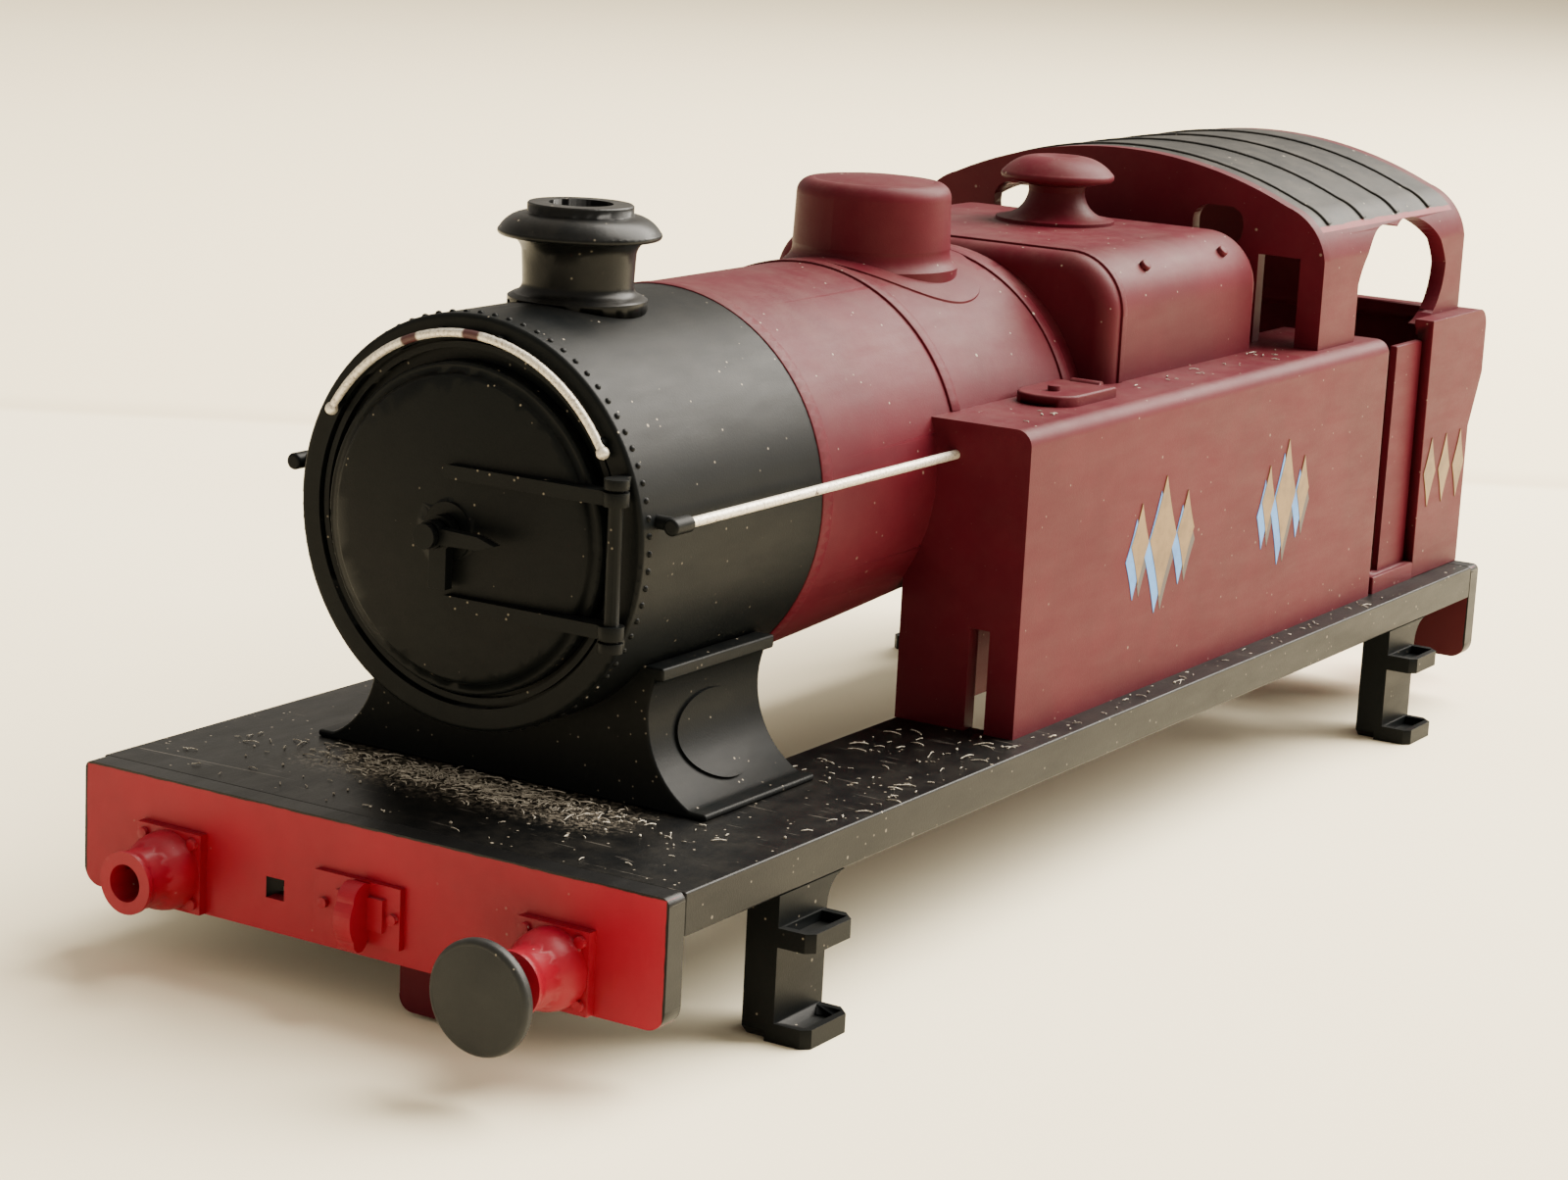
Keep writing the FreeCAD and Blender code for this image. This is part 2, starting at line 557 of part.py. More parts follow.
def cab_door():
    """Left doorway: a sill between tank and bunker, and a set-back door."""
    sill = block(BUNKER_FRONT, TANK_REAR, UNDER_TANK_HALF, TANK_HALF, DECK_TOP, DECK_TOP + 1.1)
    leaf = block(BUNKER_FRONT, TANK_REAR - 2.4, UNDER_TANK_HALF, UNDER_TANK_HALF + 0.5, DECK_TOP, 25.0)
    return fused(sill, leaf)


def bunker():
    """Bunker with a flared back, hollow and open to the cab and underneath."""
    back, corner = -HALF_LENGTH, 1.2
    flare = back - BUNKER_FLARE

    def section(shrink):
        bow = (corner - shrink) * math.sqrt(0.5)
        return ((BUNKER_FRONT + shrink, DECK_TOP - shrink), (BUNKER_FRONT + shrink, BUNKER_TOP - shrink),
                (flare + corner, BUNKER_TOP - shrink),
                ((flare + corner - bow, BUNKER_TOP - corner + bow), (flare + shrink, BUNKER_TOP - corner)),
                (flare + shrink, 22.0), (back + shrink, 18.5), (back + shrink, DECK_TOP - shrink))
    body = sideways(-TANK_HALF, TANK_HALF, *section(0))
    inner = TANK_HALF - WALL
    hollow = sideways(-inner, inner, *section(WALL))
    cab_way = block(CAB_REAR + WALL, FAR, -UNDER_TANK_HALF, UNDER_TANK_HALF, 0, TANK_TOP)
    cab_foot = block(CAB_REAR, FAR, -CAB_HALF, CAB_HALF, TANK_TOP, FAR)
    return body.cut(hollow).cut(cab_way).cut(cab_foot)


def step(front):
    """Left step: a hanger flared up into the valance, and two dished treads."""
    rear = front - STEP_LENGTH
    top, flare = VALANCE_BOTTOM, 1.5
    hanger = sideways(STEP_IN, HALF_WIDTH, (rear, 0.5), (rear + 0.5, 0), (front - 0.5, 0), (front, 0.5),
                      (front, top), (rear - flare, top), ((rear - 0.44, top - 0.44), (rear, top - flare)))
    tab = block(rear, front, STEP_IN, HALF_WIDTH - VALANCE_THICK, top, DECK_TOP - DECK_THICK)
    treads = []
    for z in TREAD_HEIGHTS:
        tread = upright(z, z + TREAD_THICK, (rear + 0.2, HALF_WIDTH - 0.5), (front, HALF_WIDTH - 0.5),
                        (front, STEP_OUT - 0.4), (front - 0.4, STEP_OUT), (rear + 0.9, STEP_OUT),
                        (rear + 0.2, STEP_OUT - 0.7))
        dish = block(rear + 0.65, front - 0.45, HALF_WIDTH + 0.1, STEP_OUT - 0.4, z + 0.45, z + TREAD_THICK)
        treads.append(tread.cut(dish))
    return fused(hanger, tab, *treads)


def fixing_lug():
    """Lug behind the front beam that hooks into the chassis."""
    lug = block(DECK_END - 1.5, DECK_END, 1.4, 5.4, 0.25, DECK_TOP - DECK_THICK)
    return rounded(lug, 0.8, lambda p: near(p.z, 0.25) and (near(p.y, 1.4) or near(p.y, 5.4)))


def screw_post():
    """Post under the rear of the running plate for the chassis screw."""
    top = DECK_TOP - DECK_THICK
    return rod(2.0, (-44.2, 0, 5.0), (-44.2, 0, top)).cut(rod(0.85, (-44.2, 0, 0), (-44.2, 0, top)))


def save(name, shape):
    assert shape.isValid() and shape.Volume > 0, name
    solids = shape.Solids
    shape = solids[0] if len(solids) == 1 else Part.makeCompound(solids)
    shape.exportStep(f"parts/{name}.step")


def main():
    os.makedirs("parts", exist_ok=True)
    save("running_plate", running_plate())
    ends = {"front": 1, "rear": -1}
    sides = {"left": 1, "right": -1}
    for end, forward in ends.items():
        save(f"{end}_buffer_beam", buffer_beam(forward))
        save(f"{end}_coupling_hook", coupling_hook(forward))
        for side, left in sides.items():
            save(f"{end}_{side}_buffer_housing", buffer_housing(forward, left))
            if (end, side) != ("front", "right"):       # this head has been lost
                save(f"{end}_{side}_buffer_head", buffer_head(forward, left))

    save("smokebox_saddle", saddle_block(FLANK_R, SADDLE_REAR, SADDLE_FRONT))
    save("smokebox", smokebox())
    save("smokebox_front_plate", smokebox_front_plate())
    save("smokebox_door", smokebox_door())
    save("door_upper_strap", hinge_strap(STRAP_DROP))
    save("door_lower_strap", hinge_strap(-STRAP_DROP))
    save("door_hinge_post", hinge_post())
    save("dart_spindle", dart_spindle())
    save("locking_handle", locking_handle())
    save("tightening_handle", tightening_handle())
    save("arc_handrail", arc_handrail())
    save("arc_handrail_pegs", arc_handrail_pegs())
    save("chimney", chimney())
    save("boiler_barrel", boiler_barrel())
    for number, band in enumerate(BANDS, start=1):
        save(f"boiler_band_{number}", boiler_band(*band))
    save("dome", dome())
    save("firebox", firebox())
    save("firebox_band", firebox_band())
    save("washout_plugs", washout_plugs())
    save("safety_valve_base", safety_valve_base())
    save("safety_valve_cap", safety_valve_cap())
    save("cab_front_sheet", cab_front_sheet())
    save("cab_rear_sheet", cab_rear_sheet())
    save("cab_roof", cab_roof())
    save("roof_ribs", roof_ribs())
    save("bunker", bunker())
    save("front_fixing_lug", fixing_lug())
    save("rear_screw_post", screw_post())

    save("saddle_covers", both_hands(saddle_cover()))
    save("handrail_stanchions", both_hands(handrail_stanchion()))
    handed = {"handrail": side_handrail(), "side_tank": side_tank(),
              "tank_filler": tank_filler(), "cab_side": cab_side(), "cab_door": cab_door(),
              "front_step": step(STEP_FRONTS[0]), "rear_step": step(STEP_FRONTS[1])}
    for name, piece in handed.items():
        save(f"left_{name}", piece)
        save(f"right_{name}", mirrored(piece))


main()
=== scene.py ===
"""Looks for a model steam locomotive's body shell: moulded edges, paint, dust, ornaments and a studio."""

from contextlib import contextmanager
from dataclasses import dataclass, field, replace
from enum import Enum
from typing import Callable, Iterator, Sequence, Union
import json
import logging
import math
import random

import bpy
from mathutils import Matrix, Vector
from mathutils.bvhtree import BVHTree

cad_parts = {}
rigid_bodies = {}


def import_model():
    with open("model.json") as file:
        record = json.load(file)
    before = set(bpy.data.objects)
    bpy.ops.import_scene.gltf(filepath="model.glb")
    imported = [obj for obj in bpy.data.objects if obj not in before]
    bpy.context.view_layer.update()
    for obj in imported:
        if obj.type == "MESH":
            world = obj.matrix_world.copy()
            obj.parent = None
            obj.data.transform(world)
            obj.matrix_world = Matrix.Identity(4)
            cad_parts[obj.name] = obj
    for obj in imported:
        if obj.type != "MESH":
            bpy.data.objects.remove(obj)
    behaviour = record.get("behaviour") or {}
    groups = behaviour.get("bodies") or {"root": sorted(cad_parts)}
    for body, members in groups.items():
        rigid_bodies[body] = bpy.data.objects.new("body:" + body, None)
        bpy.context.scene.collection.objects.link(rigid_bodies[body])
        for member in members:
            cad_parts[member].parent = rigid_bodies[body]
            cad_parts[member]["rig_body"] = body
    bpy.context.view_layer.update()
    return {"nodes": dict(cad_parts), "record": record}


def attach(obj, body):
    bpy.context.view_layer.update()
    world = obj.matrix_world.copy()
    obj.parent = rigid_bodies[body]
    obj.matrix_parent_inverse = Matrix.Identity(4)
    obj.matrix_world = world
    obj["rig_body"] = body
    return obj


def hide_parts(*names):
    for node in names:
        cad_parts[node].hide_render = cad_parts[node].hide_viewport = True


LOG = logging.getLogger("locomotive")
MM = 0.001
Colour = tuple[float, float, float]
Number = Union["Value", float]
Place = tuple[float, float, float]
Socket = bpy.types.NodeSocket


def tint(red: int, green: int, blue: int) -> Colour:
    """A linear colour from everyday 0 to 255 levels.

    Args:
        red: Red level.
        green: Green level.
        blue: Blue level.

    Returns:
        The linear red, green and blue.
    """
    def linear(level: int) -> float:
        """One level made linear."""
        share = level / 255
        return share / 12.92 if share <= 0.04045 else ((share + 0.055) / 1.055) ** 2.4
    return linear(red), linear(green), linear(blue)


class Slot(Enum):
    """The record's material slots."""

    MAROON = "maroon"
    BLACK = "black"
    RED = "signal_red"
    HEAD = "buffer_black"
    SILVER = "silver"


# ---------------------------------------------------------------- shader expressions


@dataclass(frozen=True)
class Value:
    """A number that varies over a surface, with Python's arithmetic."""

    shader: "Shader"
    socket: Socket

    def __add__(self, other: Number) -> "Value":
        """The sum."""
        return self.shader.maths("ADD", self, other)

    def __radd__(self, other: Number) -> "Value":
        """The sum, the other way round."""
        return self.shader.maths("ADD", other, self)

    def __sub__(self, other: Number) -> "Value":
        """The difference."""
        return self.shader.maths("SUBTRACT", self, other)

    def __rsub__(self, other: Number) -> "Value":
        """The difference, the other way round."""
        return self.shader.maths("SUBTRACT", other, self)

    def __mul__(self, other: Number) -> "Value":
        """The product."""
        return self.shader.maths("MULTIPLY", self, other)

    def __rmul__(self, other: Number) -> "Value":
        """The product, the other way round."""
        return self.shader.maths("MULTIPLY", other, self)

    def __truediv__(self, other: Number) -> "Value":
        """The quotient."""
        return self.shader.maths("DIVIDE", self, other)

    def __rtruediv__(self, other: Number) -> "Value":
        """The quotient, the other way round."""
        return self.shader.maths("DIVIDE", other, self)

    def __abs__(self) -> "Value":
        """The size without its sign."""
        return self.shader.maths("ABSOLUTE", self)

    def larger(self, other: Number) -> "Value":
        """The larger of the two."""
        return self.shader.maths("MAXIMUM", self, other)

    def rising(self, low: float, high: float) -> "Value":
        """0 below low and 1 above high, with a smooth step between."""
        node = self.shader.node("ShaderNodeMapRange", {"interpolation_type": "SMOOTHSTEP"},
                                {"Value": self, "From Min": low, "From Max": high})
        return Value(self.shader, node.outputs["Result"])


@dataclass
class Shader:
    """One material's node tree, written as expressions.

    Places are Object coordinates in millimetres.
    """

    name: str
    material: bpy.types.Material = field(init=False)

    def __post_init__(self) -> None:
        """Makes the empty material."""
        self.material = bpy.data.materials.new(self.name)
        self.material.use_nodes = True
        self.material.node_tree.nodes.clear()

    def node(self, kind: str, settings: dict[str, object],
             inputs: dict[Union[str, int], object]) -> bpy.types.Node:
        """Adds any node.

        Args:
            kind: Blender's name of the node type.
            settings: Properties, which are set first.
            inputs: Values or links of its sockets, by name or number.

        Returns:
            The node.
        """
        made = self.material.node_tree.nodes.new(kind)
        for key, setting in settings.items():
            setattr(made, key, setting)
        for key, given in inputs.items():
            socket = made.inputs[key]
            given = given.socket if isinstance(given, Value) else given
            if isinstance(given, Socket):
                self.material.node_tree.links.new(given, socket)
            elif isinstance(given, tuple) and len(given) == 3 and socket.type == "RGBA":
                socket.default_value = (*given, 1.0)
            else:
                socket.default_value = given
        return made

    def maths(self, operation: str, *numbers: Number) -> Value:
        """One Math node on the given numbers."""
        made = self.node("ShaderNodeMath", {"operation": operation}, dict(enumerate(numbers)))
        return Value(self, made.outputs[0])

    def place(self) -> Socket:
        """Object coordinates in millimetres."""
        where = self.node("ShaderNodeTexCoord", {}, {})
        scaled = self.node("ShaderNodeVectorMath", {"operation": "SCALE"},
                           {0: where.outputs["Object"], "Scale": 1 / MM})
        return scaled.outputs[0]

    def facing(self) -> tuple[Value, Value, Value]:
        """The surface's own direction, as x, y and z parts."""
        return self.parts(self.node("ShaderNodeTexCoord", {}, {}).outputs["Normal"])

    def parts(self, vector: Socket) -> tuple[Value, Value, Value]:
        """A vector's x, y and z."""
        made = self.node("ShaderNodeSeparateXYZ", {}, {0: vector})
        return tuple(Value(self, made.outputs[n]) for n in range(3))

    def stretched(self, vector: Socket, by: Place) -> Socket:
        """A place with each part multiplied."""
        return self.node("ShaderNodeVectorMath", {"operation": "MULTIPLY"}, {0: vector, 1: by}).outputs[0]

    def noise(self, place: Socket, scale: float, detail: float = 3, rough: float = 0.5) -> Value:
        """Cloudy noise.

        Args:
            place: Where it is read.
            scale: Clouds per millimetre.
            detail: Octaves.
            rough: How strong the finer octaves are.

        Returns:
            A value of about 0.3 to 0.7.
        """
        made = self.node("ShaderNodeTexNoise", {},
                         {"Vector": place, "Scale": scale, "Detail": detail, "Roughness": rough})
        return Value(self, made.outputs[0])

    def specks(self, place: Socket, scale: float, size: float, share: float) -> Value:
        """Small round specks.

        Args:
            place: Where they are read.
            scale: Cells per millimetre.
            size: Largest speck, as a share of a cell.
            share: Share of the cells that have one.

        Returns:
            1 inside a speck.
        """
        cells = self.node("ShaderNodeTexVoronoi", {}, {"Vector": place, "Scale": scale})
        chance = self.parts(cells.outputs["Color"])[0]
        inside = 1 - Value(self, cells.outputs["Distance"]).rising(size * 0.5, size)
        return inside * chance.rising(1 - share, 1.02 - share)

    def spot(self, place: Socket, centre: Place, radius: float) -> Value:
        """1 inside a soft ball about a place."""
        made = self.node("ShaderNodeVectorMath", {"operation": "DISTANCE"}, {0: place, 1: centre})
        return 1 - Value(self, made.outputs["Value"]).rising(radius * 0.7, radius)

    def mixed(self, first: object, second: object, share: Number) -> Socket:
        """A colour between two others."""
        made = self.node("ShaderNodeMix", {"data_type": "RGBA", "clamp_factor": True},
                         {0: share, 6: first, 7: second})
        return made.outputs[2]

    def bump(self, height: Value, depth: float, strength: float = 1.0) -> Socket:
        """Surface relief.

        Args:
            height: 0 to 1.
            depth: Its depth in millimetres.
            strength: How much of it shows.

        Returns:
            The normal.
        """
        made = self.node("ShaderNodeBump", {},
                         {"Height": height, "Distance": depth * MM, "Strength": strength})
        return made.outputs[0]

    def finished(self, colour: object, roughness: object, fixed: dict[str, float],
                 **links: object) -> bpy.types.Material:
        """Ends the tree in a surface.

        Args:
            colour: Base colour.
            roughness: Roughness.
            fixed: Plain values of other sockets.
            links: More linked sockets, with _ for a space.

        Returns:
            The material.
        """
        inputs = {"Base Color": colour, "Roughness": roughness, **fixed}
        inputs.update({key.replace("_", " "): link for key, link in links.items()})
        surface = self.node("ShaderNodeBsdfPrincipled", {}, inputs)
        self.node("ShaderNodeOutputMaterial", {}, {"Surface": surface.outputs[0]})
        return self.material


# ---------------------------------------------------------------- finishes


DUST = tint(176, 165, 148)
BARE = tint(78, 18, 24)


@dataclass(frozen=True)
class Moulding:
    """Satin moulded or painted plastic with a dust film, specks, smears and rubbed spots."""

    name: str
    colour: Colour
    shade: Colour
    roughness: float
    film: float = 0.3
    specks: float = 0.12
    rubbed: float = 0.0
    under: Colour = BARE
    sheen: float = 0.5

    def material(self) -> bpy.types.Material:
        """The finished material."""
        shader = Shader(self.name)
        place = shader.place()
        up = shader.facing()[2]
        cloud = shader.noise(place, 0.16, 4, 0.6)
        smear = shader.noise(shader.stretched(place, (0.25, 0.8, 1.1)), 0.9, 4, 0.65)
        grain = shader.noise(place, 9.0, 3, 0.6)
        colour = shader.mixed(self.colour, self.shade, cloud.rising(0.32, 0.7))
        settled = shader.noise(place, 0.45, 6, 0.7).rising(0.34, 0.72) * (up.rising(0.15, 0.98) * 0.85 + 0.15)
        film = settled * self.film
        colour = shader.mixed(colour, DUST, film)
        coarse = shader.specks(place, 1.1, 0.13, self.specks)
        fine = shader.specks(place, 2.7, 0.2, self.specks * 0.8)
        flecks = (coarse + fine) * (up.rising(-0.3, 0.8) * 0.75 + 0.25)
        colour = shader.mixed(colour, DUST, flecks * 0.75)
        if self.rubbed:
            start = 0.74 - 0.42 * self.rubbed
            worn = shader.noise(place, 1.3, 5, 0.7).rising(start, start + 0.06)
            colour = shader.mixed(colour, self.under, worn * 0.8)
        colour = self.painted(shader, place, colour)
        roughness = self.roughness + (smear - 0.5) * 0.22 + film * 0.5 + (grain - 0.5) * 0.06
        relief = shader.bump(grain * 0.6 + smear * 0.4 + flecks * 0.5, 0.02, 0.55)
        return shader.finished(colour, roughness, {"Specular IOR Level": self.sheen}, Normal=relief)

    def painted(self, shader: Shader, place: Socket, colour: Socket) -> Socket:
        """A second colour over the first; plain mouldings have none."""
        return colour


@dataclass(frozen=True)
class BeamPaint(Moulding):
    """Red on a beam's outer face, black round its edges and bare moulding inside."""

    outer: float = 49.0
    top: float = 9.3
    half: float = 17.1

    def painted(self, shader: Shader, place: Socket, colour: Socket) -> Socket:
        """Adds the black edge and the bare inner side."""
        x, y, z = shader.parts(place)
        wander = (shader.noise(place, 0.8, 4, 0.6) - 0.5) * 0.5
        side = abs(shader.facing()[1]).rising(0.5, 0.8)
        upper = (z + wander * 0.3).rising(self.top - 0.14, self.top - 0.08)
        end = (abs(y) + wander * 0.3).rising(self.half - 0.02, self.half + 0.04)
        edge = upper.larger(end).larger(side)
        colour = shader.mixed(colour, tint(14, 14, 14), edge)
        painted = abs(x).rising(self.outer - 0.9, self.outer - 0.6).larger(edge)
        return shader.mixed(tint(64, 14, 20), colour, painted)


@dataclass(frozen=True)
class DeckPaint(Moulding):
    """Black deck with a dusty drift, a seam and a few scratches."""

    seam_x: float = 44.6

    def painted(self, shader: Shader, place: Socket, colour: Socket) -> Socket:
        """Adds the drift before the saddle, the seam line and the scratches."""
        x, y, z = shader.parts(place)
        up = shader.facing()[2].rising(0.6, 0.9)
        drift = (1 - abs(x - 40.2).rising(1.0, 3.6)) * (1 - abs(y + 0.5).rising(7.0, 11.0)) * up
        powder = shader.noise(place, 3.2, 6, 0.8).rising(0.47, 0.62)
        colour = shader.mixed(colour, DUST, drift * powder * 0.6)
        seam = (1 - abs(x - self.seam_x + y * 0.06).rising(0.03, 0.07)) * up
        seam = seam * y.rising(-17.0, -16.5) * (1 - y.rising(-9, -7))
        hairs = shader.noise(shader.stretched(place, (5.0, 0.35, 1.0)), 1.0, 3, 0.5).rising(0.69, 0.71) * up
        return shader.mixed(colour, tint(120, 114, 106), seam * 0.5 + hairs * 0.25)


@dataclass(frozen=True)
class RoofPaint(Moulding):
    """Black roof that ends in a slightly uneven line at the eaves."""

    eaves: float = 33.15

    def painted(self, shader: Shader, place: Socket, colour: Socket) -> Socket:
        """Leaves the maroon moulding below the eaves and on the inside."""
        z = shader.parts(place)[2]
        wander = (shader.noise(place, 0.7, 3, 0.5) - 0.5) * 0.3
        return shader.mixed(tint(112, 30, 38), colour, (z + wander).rising(self.eaves, self.eaves + 0.08))


@dataclass(frozen=True)
class SilverPaint:
    """Brushed-on silver, grainy, with bare spots."""

    name: str
    bare_spots: tuple[Place, ...] = ()
    chips: float = 0.3

    def material(self) -> bpy.types.Material:
        """The finished material."""
        shader = Shader(self.name)
        place = shader.place()
        grain = shader.noise(place, 7.0, 4, 0.7)
        thin = shader.noise(place, 1.1, 4, 0.65)
        colour = shader.mixed(tint(226, 219, 204), tint(150, 140, 126), grain.rising(0.42, 0.72))
        chips = thin.rising(0.72 - 0.2 * self.chips, 0.76 - 0.2 * self.chips)
        for centre in self.bare_spots:
            chips = chips.larger(shader.spot(place, centre, 0.62))
        colour = shader.mixed(colour, tint(58, 20, 22), chips)
        roughness = 0.36 + grain * 0.2 + chips * 0.1
        return shader.finished(colour, roughness, {}, Metallic=0.55 - chips * 0.55,
                               Normal=shader.bump(grain + chips * -1.0, 0.02, 0.6))


@dataclass(frozen=True)
class TransferFilm:
    """Thin printed film with a soft edge tone and tiny pinholes."""

    name: str
    colour: Colour
    edge: Colour
    ground: Colour

    def material(self) -> bpy.types.Material:
        """The finished material."""
        shader = Shader(self.name)
        place = shader.place()
        cloud = shader.noise(place, 0.8, 4, 0.6)
        dots = shader.noise(place, 11.0, 2, 0.5)
        colour = shader.mixed(self.colour, self.edge, cloud.rising(0.4, 0.68))
        colour = shader.mixed(colour, self.ground, dots.rising(0.66, 0.7) * 0.7)
        return shader.finished(colour, 0.42 + cloud * 0.12, {}, Normal=shader.bump(dots, 0.01, 0.4))


@dataclass(frozen=True)
class Lint:
    """Pale matt fibre and grit."""

    name: str = "lint"

    def material(self) -> bpy.types.Material:
        """The finished material."""
        shader = Shader(self.name)
        place = shader.place()
        pale = shader.noise(place, 1.6, 4, 0.8).rising(0.36, 0.66)
        colour = shader.mixed(tint(120, 112, 100), tint(214, 206, 190), pale)
        return shader.finished(colour, 0.85 + shader.noise(place, 5.0) * 0.1, {},
                               Normal=shader.bump(shader.noise(place, 20.0, 2), 0.01, 0.5))


@dataclass(frozen=True)
class Paper:
    """Warm white paper, painted a touch darker as shade on the far side of the join behind the model, with a
    darker painted shade band along the join.
    """

    name: str = "paper"
    join: float = 113.0

    def material(self) -> bpy.types.Material:
        """The finished material."""
        shader = Shader(self.name)
        place = shader.place()
        x, y, z = shader.parts(place)
        cloud = shader.noise(place, 0.012, 4, 0.6)
        fibres = shader.noise(place, 2.5, 5, 0.7)
        colour = shader.mixed(tint(255, 244, 212), tint(253, 240, 207), cloud.rising(0.35, 0.65))
        # Painted shade: the paper on the far side of the join is painted darker, as shade rather than a
        # change in the paper.
        away = -0.855 * x - 0.519 * y
        backdrop_shade = away.rising(self.join, self.join + 4.0)
        colour = shader.mixed(colour, tint(250, 236, 200), backdrop_shade * 0.8)
        # Painted shade: a darker band just past the join, along its length.
        line = backdrop_shade * (1 - away.rising(self.join + 3.0, self.join + 12.0))
        colour = shader.mixed(colour, tint(232, 216, 182), line * 0.7)
        colour = shader.mixed(colour, tint(214, 204, 188), shader.specks(place, 0.05, 0.02, 0.2) * 0.5)
        return shader.finished(colour, 0.9 + fibres * 0.08, {}, Normal=shader.bump(fibres, 0.03, 0.25))


MAROON = Moulding("maroon_moulding", tint(77, 14, 27), tint(70, 12, 24), 0.48,
                  film=0.045, specks=0.07, sheen=0.10)
BLACK = Moulding("black_satin", tint(10, 13, 14), tint(8, 10, 11), 0.42,
                 film=0.01, specks=0.09, rubbed=0.02, sheen=0.08)
RED = Moulding("signal_red", tint(142, 13, 36), tint(128, 11, 32), 0.38,
               film=0.03, specks=0.06, rubbed=0.05, under=tint(70, 8, 18), sheen=0.2)
BEAM = BeamPaint("beam_red", tint(142, 13, 36), tint(130, 12, 33), 0.40,
                 film=0.03, specks=0.04, rubbed=0.02, under=tint(70, 8, 18), sheen=0.2)
DECK = DeckPaint("deck_black", tint(8, 9, 10), tint(6, 7, 8), 0.38, film=0.02, specks=0.16, sheen=0.14)
ROOF = RoofPaint("roof_black", tint(22, 22, 21), tint(19, 19, 18), 0.48, film=0.06, specks=0.05, sheen=0.16)
CHIMNEY = Moulding("chimney_black", tint(10, 12, 13), tint(8, 9, 10), 0.34,
                   film=0.02, specks=0.1, rubbed=0.14, sheen=0.14)
HEAD = Moulding("buffer_head_black", tint(24, 26, 27), tint(20, 22, 23), 0.5,
                film=0.04, specks=0.1, sheen=0.25)
SILVER = SilverPaint("silver_rail", chips=0.35)
GOLD_FILM = TransferFilm("ornament_gold", tint(118, 90, 48), tint(100, 74, 38), tint(80, 32, 30))
BLUE_FILM = TransferFilm("ornament_blue", tint(62, 128, 196), tint(50, 110, 176), tint(70, 90, 130))
SHADOW_FILM = TransferFilm("ornament_shadow", tint(44, 36, 38), tint(58, 44, 44), tint(110, 34, 40))


# ---------------------------------------------------------------- the workbench


class Bench:
    """Everyday modelling moves with Blender's operators."""

    @staticmethod
    def take(*objects: bpy.types.Object) -> None:
        """Selects these objects only; the first is the active one."""
        bpy.ops.object.select_all(action="DESELECT")
        for obj in objects:
            obj.select_set(True)
        bpy.context.view_layer.objects.active = objects[0]

    @staticmethod
    @contextmanager
    def editing(obj: bpy.types.Object, mode: str = "EDGE") -> Iterator[bpy.types.Object]:
        """Edit mode on one object, with what its mesh has selected.

        Args:
            obj: The object.
            mode: VERT, EDGE or FACE.

        Yields:
            The object.
        """
        Bench.take(obj)
        bpy.ops.object.mode_set(mode="EDIT")
        bpy.ops.mesh.select_mode(type=mode)
        yield obj
        bpy.ops.object.mode_set(mode="OBJECT")

    @staticmethod
    def own_copy(source: bpy.types.Object, name: str) -> bpy.types.Object:
        """A copy of an object's mesh in a new object at the origin."""
        made = bpy.data.objects.new(name, source.data.copy())
        bpy.context.scene.collection.objects.link(made)
        made.data.transform(source.matrix_basis)
        return made

    @staticmethod
    def settle(obj: bpy.types.Object) -> bpy.types.Object:
        """Puts the object at the origin, unturned and unscaled, its place in its mesh."""
        Bench.take(obj)
        bpy.ops.object.transform_apply(location=True, rotation=True, scale=True)
        return obj

    @staticmethod
    def joined(objects: Sequence[bpy.types.Object], name: str) -> bpy.types.Object:
        """One object made of several."""
        Bench.take(*objects)
        if len(objects) > 1:
            bpy.ops.object.join()
        objects[0].name = name
        return Bench.settle(objects[0])

    @staticmethod
    def modified(obj: bpy.types.Object, kind: str, **settings: object) -> bpy.types.Object:
        """Adds a modifier and applies it."""
        Bench.take(obj)
        modifier = obj.modifiers.new(kind.lower(), kind)
        for key, setting in settings.items():
            setattr(modifier, key, setting)
        bpy.ops.object.modifier_apply(modifier=modifier.name)
        return obj

    @staticmethod
    def smooth(obj: bpy.types.Object, degrees: float) -> bpy.types.Object:
        """Smooth shading, broken at edges sharper than the angle."""
        Bench.take(obj)
        bpy.ops.object.shade_smooth_by_angle(angle=math.radians(degrees))
        return obj

    @staticmethod
    def outward(obj: bpy.types.Object) -> bpy.types.Object:
        """Merges doubles and turns every face outwards."""
        with Bench.editing(obj, "FACE"):
            bpy.ops.mesh.select_all(action="SELECT")
            bpy.ops.mesh.remove_doubles(threshold=1e-7)
            bpy.ops.mesh.normals_make_consistent(inside=False)
        return obj

    @staticmethod
    def hand_over(obj: bpy.types.Object, body: str, slot: Slot, *materials: bpy.types.Material) -> None:
        """Dresses a finished piece and lets it ride on its body."""
        obj.data.materials.clear()
        for material in materials:
            obj.data.materials.append(material)
        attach(obj, body)
        LOG.info("%s: %d faces on %s", obj.name, len(obj.data.polygons), body)


@dataclass
class PaintShop:
    """Makes each finish once, and a rubbed version of it for edges."""

    made: dict[str, bpy.types.Material] = field(default_factory=dict)

    def coat(self, finish: object) -> bpy.types.Material:
        """The material of a finish."""
        if finish.name not in self.made:
            self.made[finish.name] = finish.material()
        return self.made[finish.name]

    def coats(self, finish: object) -> list[bpy.types.Material]:
        """The material of a finish, and that of its edges."""
        if not isinstance(finish, Moulding):
            return [self.coat(finish)] * 2
        edge = replace(finish, name=finish.name + "_edge", rubbed=finish.rubbed + 0.22,
                       roughness=finish.roughness - 0.04)
        return [self.coat(finish), self.coat(edge)]


# ---------------------------------------------------------------- the mouldings


